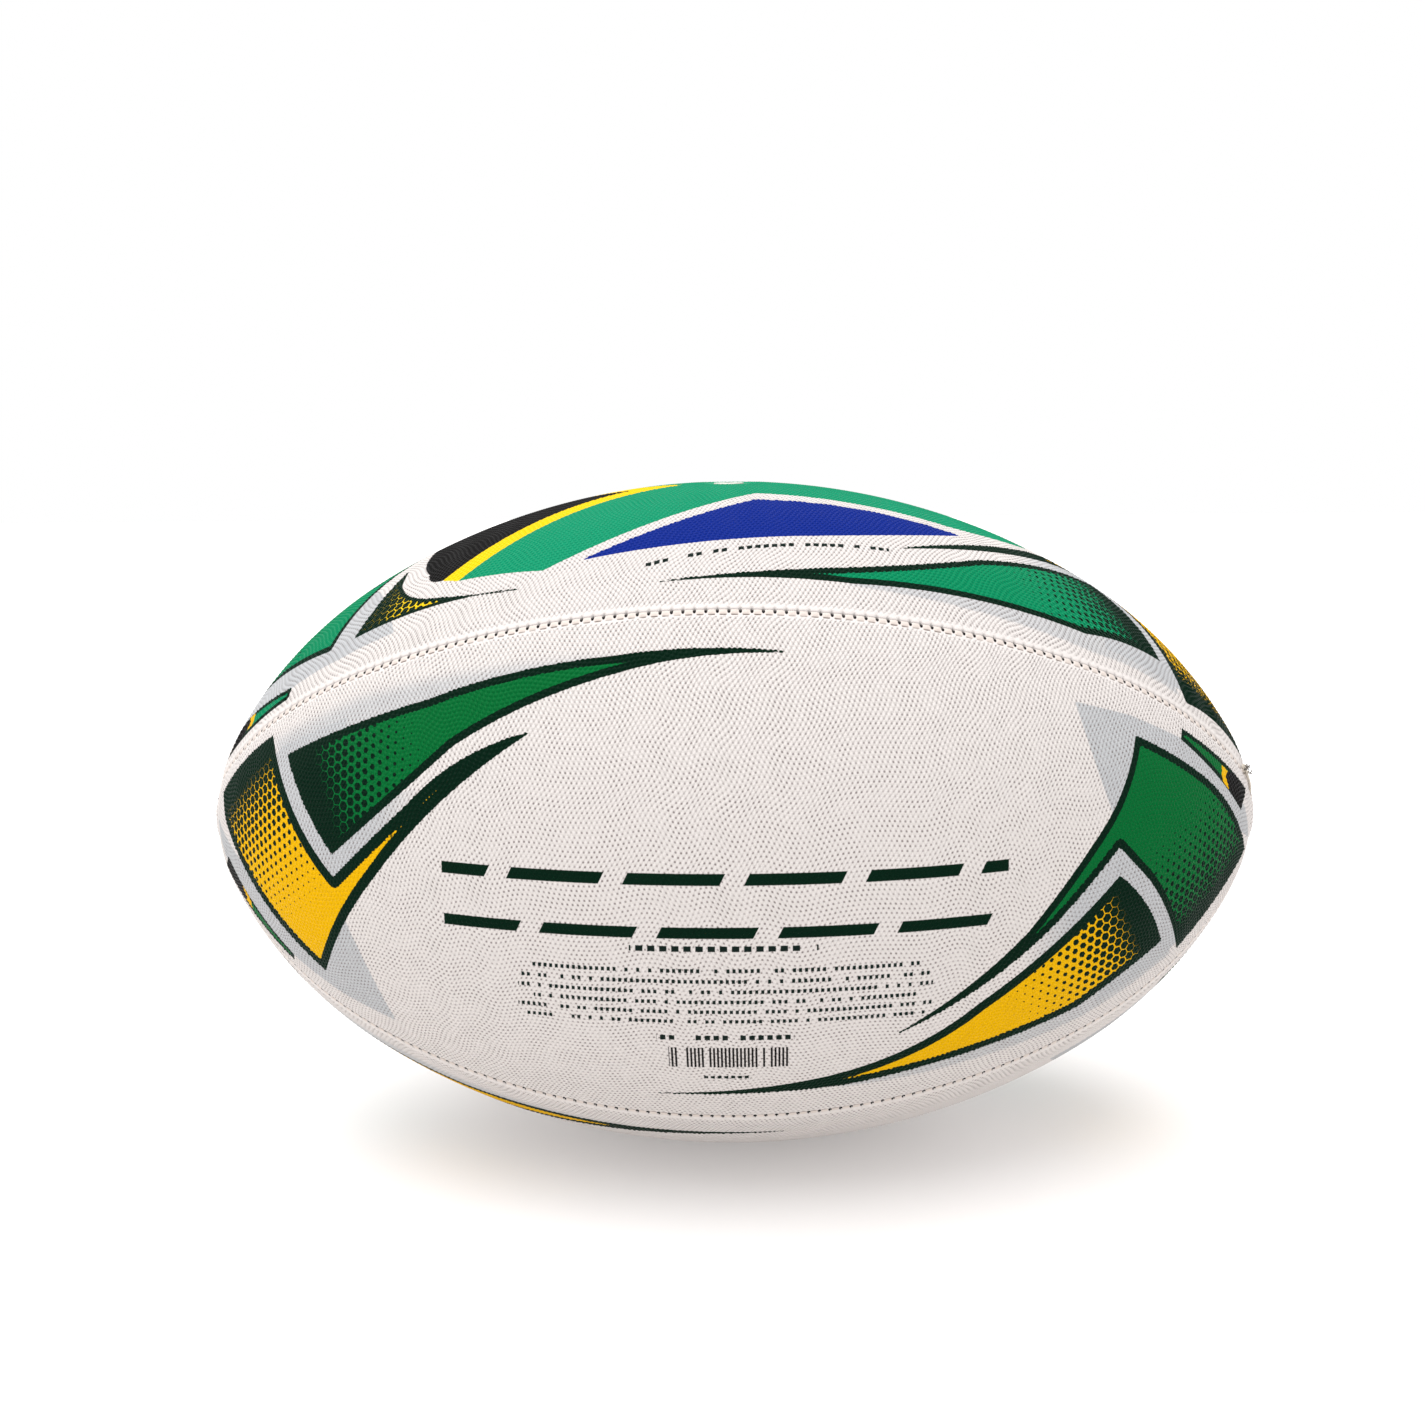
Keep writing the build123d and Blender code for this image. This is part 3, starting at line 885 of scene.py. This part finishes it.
def words(shader, colour, s, v):
    """Plain dashes and bars where a ball has its printed words."""

    def band(value, middle, half, soft=BAND_EDGE):
        """1 within half of the middle and 0 beyond it."""
        away = shader.math("ABSOLUTE", shader.math("SUBTRACT", value, middle))
        return shader.ramp(away, half + soft, half - soft)

    def dashes(along, pitch, share, seed, gaps=0.15):
        """Evenly spaced dashes that fill a share of the row. Some are left out as gaps."""
        cell = shader.math("DIVIDE", along, pitch)
        soft = DASH_EDGE / pitch
        dash = shader.ramp(shader.math("PINGPONG", cell, 0.5), share / 2 + soft, share / 2 - soft)
        number = shader.math("FLOOR", shader.math("ADD", cell, 0.5))
        chance = shader.node("TexWhiteNoise", noise_dimensions="1D")
        shader.set(chance.inputs["W"], shader.math("ADD", number, seed))
        kept = shader.math("GREATER_THAN", chance.outputs[0], gaps)
        return shader.times(dash, kept)

    def printed(colour, *masks, ink=DARK_INK):
        return shader.mix(shader.times(*masks), colour, ink)

    long_words = shader.attribute("long_words")
    short_words = shader.attribute("short_words")

    # Two rows of slanted bars in place of a name
    upper = shader.math("GREATER_THAN", v, BARS_MIDDLE)
    slanted = shader.math("MULTIPLY_ADD", v, BAR_SLANT, s)
    slanted = shader.math("MULTIPLY_ADD", upper, BAR_PITCH / 2, slanted)
    from_middle = shader.math("ABSOLUTE", shader.math("SUBTRACT", v, BARS_MIDDLE))
    bars = dashes(slanted, BAR_PITCH, BAR_SHARE, seed=0.0, gaps=0.0)
    rows = band(from_middle, BAR_OFFSET, BAR_HEIGHT / 2)
    ends = band(s, 0.0, BARS_WIDTH / 2)
    colour = printed(colour, bars, rows, ends, long_words, ink=DARK_GREEN)

    for middle, height, width, pitch in LINES:
        row = shader.times(band(v, middle, height / 2), band(s, 0.0, width / 2))
        colour = printed(colour, dashes(s, pitch, LINE_SHARE, seed=middle), row, long_words)

    # The paragraph: one set of nodes draws all its lines
    line = shader.math("DIVIDE", shader.math("SUBTRACT", v, PARAGRAPH_FOOT), PARAGRAPH_LINE)
    number = shader.math("FLOOR", line)
    half_height = PARAGRAPH_LINES / 2 * PARAGRAPH_LINE
    inside = band(v, PARAGRAPH_FOOT + half_height, half_height - 0.1)
    shifted = shader.math("MULTIPLY_ADD", number, DASH_STEP, s)
    strokes = band(shader.math("FRACT", line), 0.5, STROKE_HALF_HEIGHT, soft=0.05)
    uneven = shader.math("SINE", shader.times(number, END_STEP))
    width = shader.math("MULTIPLY_ADD", uneven, PARAGRAPH_RAGGED, PARAGRAPH_HALF_WIDTH)
    ends = shader.math("LESS_THAN", shader.math("ABSOLUTE", s), width)
    row = dashes(shifted, PARAGRAPH_PITCH, STROKE_SHARE, seed=5.0)
    colour = printed(colour, row, strokes, inside, ends, long_words)

    # A block of plain upright bars
    block = shader.times(band(v, *BLOCK_ACROSS), band(s, *BLOCK_ALONG))
    bars = dashes(s, BLOCK_PITCH, STROKE_SHARE, seed=9.0, gaps=0.1)
    colour = printed(colour, bars, block, long_words, ink=BLACK)

    # One short slanting line on the top panel
    tilted = shader.math("MULTIPLY_ADD", s, SHORT_SLOPE, v)
    row = shader.times(band(tilted, *SHORT_ACROSS), band(s, *SHORT_ALONG))
    return printed(colour, dashes(s, SHORT_PITCH, SHORT_SHARE, seed=3.0), row, short_words)


# ---------------------------------------------------------------- materials of the inner pieces

# A cloth's two colours are the tops of its threads and the painted shade in the gaps between
# them. A rubber's are the rubber and its mottle
COTTON = (linear(226, 214, 190), linear(176, 160, 132))
POLYESTER = (linear(232, 234, 236), linear(178, 182, 188))
BLADDER_RUBBER = (linear(38, 36, 38), linear(74, 70, 70))
PATCH_RUBBER = (linear(160, 144, 124), linear(134, 118, 98))
VALVE_RUBBER = (linear(226, 222, 214), linear(196, 190, 182))
INSERT_RUBBER = (linear(48, 46, 46), linear(66, 62, 60))
WEAVE_BUMP = 0.0001
MOULDED_BUMP = 0.00003
FIBRE_BUMP = 0.00003
THREAD_DARK = linear(176, 166, 152)
THREAD_LIGHT = linear(214, 206, 194)
SINGED = linear(66, 56, 48)


def weave_material(name, light, dark, thread_pitch, roughness):
    """Plain-woven cloth: threads along the ball cross threads that run round it."""
    shader = Shader(name)
    x, y, z = shader.parts(shader.node("TexCoord").outputs["Object"])
    per_thread = pi / (thread_pitch * MM)
    along = shader.times(x, per_thread)
    around = shader.times(shader.math("ARCTAN2", y, z), per_thread * BALL_WIDTH / 2 * MM)
    crossing = shader.times(shader.math("SINE", along), shader.math("SINE", around))
    height = shader.math("ABSOLUTE", crossing)
    slub = shader.noise(scale=420.0, detail=4.0)
    # Painted shade: the cloth darkens in the gaps between its threads, and its slub varies the
    # tone at random
    gap_shade_and_slub = shader.math("MULTIPLY_ADD", height, 0.6, shader.times(slub, 0.4), clamp=True)
    rough = shader.math("MULTIPLY_ADD", slub, 0.2, roughness - 0.1)
    shader.surface(shader.mix(gap_shade_and_slub, dark, light), rough, shader.bump(height, WEAVE_BUMP))
    shader.principled.inputs["Sheen Weight"].default_value = 0.2
    return shader.material


def rubber_material(name, colour, specks, roughness):
    """Moulded rubber: a slightly mottled colour and a fine matt grain."""
    shader = Shader(name)
    mottle = shader.ramp(shader.noise(scale=90.0, detail=5.0), 0.4, 0.75)
    rough = shader.math("MULTIPLY_ADD", shader.noise(scale=300.0), 0.25, roughness - 0.12)
    grain = shader.bump(shader.noise(scale=1500.0), MOULDED_BUMP)
    shader.surface(shader.mix(mottle, colour, specks), rough, grain)
    return shader.material


def thread_material():
    """Waxed polyester thread, pale, with dark singed ends."""
    shader = Shader("thread")
    fibres = shader.noise(scale=3000.0, detail=2.0)
    colour = shader.mix(fibres, THREAD_DARK, THREAD_LIGHT)
    singed = shader.ramp(shader.attribute("singed"), 0.35, 0.8)
    colour = shader.mix(singed, colour, SINGED)
    rough = shader.math("MULTIPLY_ADD", fibres, 0.2, 0.5)
    shader.surface(colour, rough, shader.bump(fibres, FIBRE_BUMP))
    shader.principled.inputs["Sheen Weight"].default_value = 0.3
    return shader.material


def dress_cad_nodes(thread):
    """Materials for the CAD nodes that show as they are."""
    cotton = weave_material("cotton_ply", *COTTON, thread_pitch=1.5, roughness=0.85)
    polyester = weave_material("polyester_ply", *POLYESTER, thread_pitch=1.1, roughness=0.6)
    bladder = rubber_material("bladder_rubber", *BLADDER_RUBBER, roughness=0.5)
    patch = rubber_material("patch_rubber", *PATCH_RUBBER, roughness=0.7)
    valve = rubber_material("valve_rubber", *VALVE_RUBBER, roughness=0.55)
    insert = rubber_material("insert_rubber", *INSERT_RUBBER, roughness=0.5)
    for name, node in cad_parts.items():
        if name.startswith("middle_ply"):
            material = polyester
        elif "_ply_" in name:
            material = cotton
        elif name.startswith("seam_thread"):
            material = thread
        else:
            named = {"bladder": bladder, "valve_patch": patch, "valve_housing": valve}
            material = named.get(name, insert)
        for slot in node.material_slots:
            slot.material = material


# ---------------------------------------------------------------- the closing knot

KNOT_TURN = radians(63)
KNOT_SIZE = 0.42
KNOT_LIFT = 0.35
KNOT_THREAD = 0.36
RUN_THREAD = 0.42

# A thread's three yarns: their radius and place as shares of the thread's radius, and the
# length of one twist
YARN_SIDES = 6
YARN_SHARE = 0.55
TWIST_LENGTH = 9


def smooth_route(corners, count):
    """Points along a smooth curve through the corners."""
    corners = np.array(corners, float)
    before = 2 * corners[0] - corners[1]
    after = 2 * corners[-1] - corners[-2]
    padded = np.concatenate([[before], corners, [after]])
    t = np.linspace(0, len(corners) - 1 - 1e-9, count)
    number = t.astype(int)
    f = (t - number)[:, None]
    a, b, c, d = (padded[number + step] for step in range(4))
    middle = (c - a) * f + (2 * a - 5 * b + 4 * c - d) * f**2 + (3 * b - a - 3 * c + d) * f**3
    return b + middle / 2


def twisted_thread(route, radius, fray=0.0):
    """The vertices and faces of three yarns twisted round the route, and how far along it
    each vertex is, 0 to 1. With fray the yarns part towards the route's far end."""
    step = np.gradient(route, axis=0)
    tangent = step / np.linalg.norm(step, axis=1)[:, None]
    side = np.cross(tangent, (0.3, 0.5, 0.81))
    side /= np.linalg.norm(side, axis=1)[:, None]
    other = np.cross(tangent, side)
    steps = np.linalg.norm(np.diff(route, axis=0), axis=1)
    travelled = np.concatenate([[0], np.cumsum(steps)])
    share = travelled / travelled[-1]
    vertices, faces, shares = [], [], []
    for yarn in range(3):
        twist = 2 * pi * (yarn / 3 + travelled / (radius * TWIST_LENGTH))
        spread = radius * (YARN_SHARE + fray * share**3 * 2)
        aside = side * np.cos(twist)[:, None] + other * np.sin(twist)[:, None]
        centre = route + aside * spread[:, None]
        thin = radius * YARN_SHARE * (1 - 0.35 * fray * share)
        first = len(vertices)
        for number in range(len(route)):
            for angle in np.linspace(0, 2 * pi, YARN_SIDES, endpoint=False):
                out = side[number] * cos(angle) + other[number] * sin(angle)
                vertices.append(centre[number] + out * thin[number])
                shares.append(share[number])
        for number in range(len(route) - 1):
            for corner in range(YARN_SIDES):
                a = first + number * YARN_SIDES + corner
                b = first + number * YARN_SIDES + (corner + 1) % YARN_SIDES
                faces.append((a, b, b + YARN_SIDES, a + YARN_SIDES))
        faces.append(tuple(range(first + YARN_SIDES - 1, first - 1, -1)))
        last = first + (len(route) - 1) * YARN_SIDES
        faces.append(tuple(range(last, last + YARN_SIDES)))
    return vertices, faces, shares


def closing_knot(material):
    """The tied ends of the thread, and the thread that runs from them towards the pole."""
    seam_turn = radians(45)
    s = float(np.interp(KNOT_TURN, TURN, LENGTH))

    def on_seam(ahead, aside, up):
        place = np.array([s + ahead])
        return place_on_ball(place, np.array([aside]), np.array([up]), seam_turn)[0]

    angles = np.linspace(0, 2 * pi, 90)
    loops = [
        on_seam(
            KNOT_SIZE * (np.sin(a) + 2 * np.sin(2 * a)),
            KNOT_SIZE * (np.cos(a) - 2 * np.cos(2 * a)),
            KNOT_LIFT - KNOT_SIZE * np.sin(3 * a),
        )
        for a in angles
    ]
    bends = [(0, 0, 0.2), (3, 0.2, 0.35), (9, 0, 0.4), (16, 0.1, 0.4), (22, 0, 0.1)]
    along_seam = [on_seam(*bend) for bend in bends]

    # Each trimmed end has its places, its radius and how much it frays
    tails = [
        ([(0.3, 0.2, 0.2), (0.8, 0.7, 1.1), (0.3, 1.0, 1.9)], 0.34, 0.7),
        ([(-0.2, -0.3, 0.2), (-0.9, -0.5, 1.0), (-1.2, 0.2, 1.7)], 0.34, 0.6),
        ([(0.1, -0.4, 0.2), (0.9, -1.0, 0.8), (1.4, -0.8, 1.6)], 0.32, 0.7),
        ([(-0.4, 0.4, 0.1), (-1.3, 0.9, 0.6), (-1.8, 0.9, 1.2)], 0.28, 0.5),
    ]
    run = smooth_route(along_seam, 90)
    threads = [(np.array(loops), KNOT_THREAD, 0.0), (run, RUN_THREAD, 0.0)]
    for places, radius, fray in tails:
        route = smooth_route([on_seam(*place) for place in places], 26)
        threads.append((route, radius, fray))

    vertices, faces, singed = [], [], []
    for route, radius, fray in threads:
        points, sides, shares = twisted_thread(route, radius, fray)
        faces += [tuple(len(vertices) + corner for corner in side) for side in sides]
        vertices += points
        singed += [share * (fray > 0) for share in shares]
    mesh = bpy.data.meshes.new("knot_strands")
    mesh.from_pydata((np.array(vertices) * MM).tolist(), [], faces)
    mesh.shade_smooth()
    mesh.materials.append(material)
    add_attribute(mesh, "singed", np.array(singed))
    piece = add_object("knot_strands", mesh)
    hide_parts("closing_knot")
    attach(piece, "root")


# ---------------------------------------------------------------- stage

LIGHT_DIRECTION = Vector((0.22, 0.06, -1.0))
FLOOR_HALF = 3.0
FLOOR_LIGHT = linear(223, 221, 220)
FLOOR_DARK = linear(219, 217, 216)


def camera():
    """A camera at the photo's viewing angle, aimed at the ball's middle."""
    azimuth, elevation, roll = radians(1.40), radians(13.23), radians(-0.53)
    distance = 0.491
    level = cos(elevation)
    out = Vector((sin(azimuth) * level, -cos(azimuth) * level, sin(elevation)))
    made = add_object("camera", bpy.data.cameras.new("camera"))
    made.location = out * distance
    made.rotation_mode = "QUATERNION"
    made.rotation_quaternion = (-out).to_track_quat("-Z", "Y") @ Quaternion((0, 0, 1), roll)
    made.data.sensor_width = 36
    made.data.lens = 42.77
    made.data.shift_x = -0.0135
    made.data.shift_y = 0.0697
    bpy.context.scene.camera = made


def studio():
    """White walls, a brighter ceiling and one broad soft light from above, a little to the
    left and in front."""
    scene = bpy.context.scene
    scene.view_settings.view_transform = "Standard"
    world = bpy.data.worlds.new("studio")
    world.use_nodes = True
    nodes, links = world.node_tree.nodes, world.node_tree.links
    height = nodes.new("ShaderNodeSeparateXYZ")
    links.new(nodes.new("ShaderNodeTexCoord").outputs["Generated"], height.inputs[0])
    fall = nodes.new("ShaderNodeMapRange")
    fall.interpolation_type = "SMOOTHSTEP"
    links.new(height.outputs[2], fall.inputs["Value"])
    for socket, value in (("From Min", 0.3), ("From Max", 0.9), ("To Min", 1.0), ("To Max", 1.1)):
        fall.inputs[socket].default_value = value
    background = nodes["Background"]
    background.inputs["Color"].default_value = (1, 1, 1, 1)
    links.new(fall.outputs[0], background.inputs["Strength"])
    scene.world = world

    lamp = bpy.data.lights.new("softbox", "SUN")
    lamp.angle = radians(75)
    lamp.energy = 2.9
    light = add_object("softbox", lamp)
    light.rotation_mode = "QUATERNION"
    light.rotation_quaternion = LIGHT_DIRECTION.to_track_quat("-Z", "Y")


def floor_plane():
    """A pale floor that glows a little, like a photographer's light table."""
    low = cad_box[0].z
    half = FLOOR_HALF
    corners = [(-half, -half, low), (half, -half, low), (half, half, low), (-half, half, low)]
    mesh = bpy.data.meshes.new("floor")
    mesh.from_pydata(corners, [], [(0, 1, 2, 3)])
    shader = Shader("pale_floor")
    tint = shader.mix(shader.noise(scale=3.0), FLOOR_LIGHT, FLOOR_DARK)
    shader.set(shader.principled.inputs["Base Color"], tint)
    shader.set(shader.principled.inputs["Emission Color"], tint)
    shader.principled.inputs["Emission Strength"].default_value = 0.34
    shader.principled.inputs["Roughness"].default_value = 0.6
    mesh.materials.append(shader.material)
    floor = add_object("floor", mesh)


camera()
studio()
floor_plane()
printed = cover_material()
for panel_name in PANEL_TURNS:
    cover_piece(panel_name).data.materials.append(printed)
thread = thread_material()
closing_knot(thread)
dress_cad_nodes(thread)
